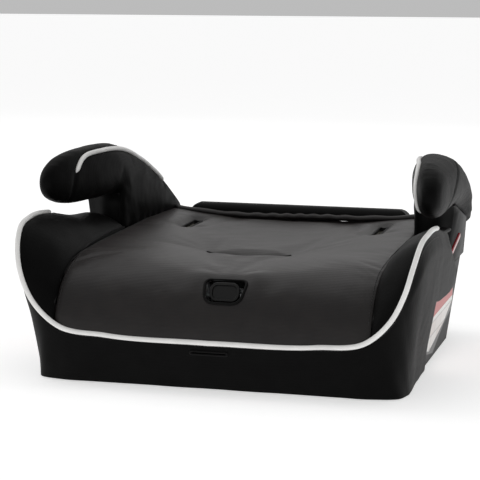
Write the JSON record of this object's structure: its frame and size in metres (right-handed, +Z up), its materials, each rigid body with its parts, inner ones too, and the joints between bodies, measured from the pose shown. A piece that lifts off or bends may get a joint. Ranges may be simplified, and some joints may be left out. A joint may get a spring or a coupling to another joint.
{
  "type": "booster seat",
  "caption": "Backless child booster seat: padded tub with hooked armrests over belt gaps, harness slots, a rear rail and a spring-back strap adjuster.",
  "frame": {"origin": "middle of the footprint, on the surface the seat stands on", "axes": "+X to the seat's right as seen from the front, +Y to its back, +Z up"},
  "size_m": [0.432, 0.416, 0.2299],
  "materials": {
    "shell_plastic": "fine moulded texture",
    "guide_red": "glossy",
    "adjuster_plastic": "satin",
    "steel": "zinc plated",
    "spring_steel": "bright wire",
    "seat_fabric": "fine knit with a soft sheen",
    "side_fabric": "fine knit",
    "binding": "folded tape",
    "piping": "smooth corded piping",
    "foam": "open-cell foam",
    "label": "printed film"
  },
  "bodies": {
    "seat": {"adjuster_frame": "steel", "adjuster_opening_binding": "binding", "adjuster_pin": "steel", "adjuster_screws": "steel", "armrest_cover_left": "side_fabric", "armrest_cover_right": "side_fabric", "armrest_piping_left": "piping", "armrest_piping_right": "piping", "armrest_screws_left": "steel", "armrest_screws_right": "steel", "armrest_shell_left": "shell_plastic", "armrest_shell_right": "shell_plastic", "axle_caps": "shell_plastic", "backrest_axle": "steel", "base_shell": "shell_plastic", "belt_guide_left": "guide_red", "belt_guide_right": "guide_red", "crotch_slot_binding": "binding", "front_piping": "piping", "front_skirt": "side_fabric", "front_slit_binding": "binding", "hip_slot_binding_left": "binding", "hip_slot_binding_right": "binding", "label_left": "label", "label_right": "label", "rail_screws": "steel", "rear_rail": "shell_plastic", "seat_cover": "seat_fabric", "seat_foam": "foam", "wing_cover_left": "side_fabric", "wing_cover_right": "side_fabric"},
    "adjuster_lever": {"adjuster_cam": "adjuster_plastic", "adjuster_button": "adjuster_plastic", "adjuster_spring": "spring_steel"}
  },
  "joints": [
    {"name": "adjuster_press", "type": "hinge", "parent": "seat", "child": "adjuster_lever", "pos_m": [0.011, -0.16593, 0.0931], "axis": [1, 0, 0], "range_deg": [0, 12], "stiffness_Nm_per_rad": 0.3, "springref_deg": -20.05}
  ]
}
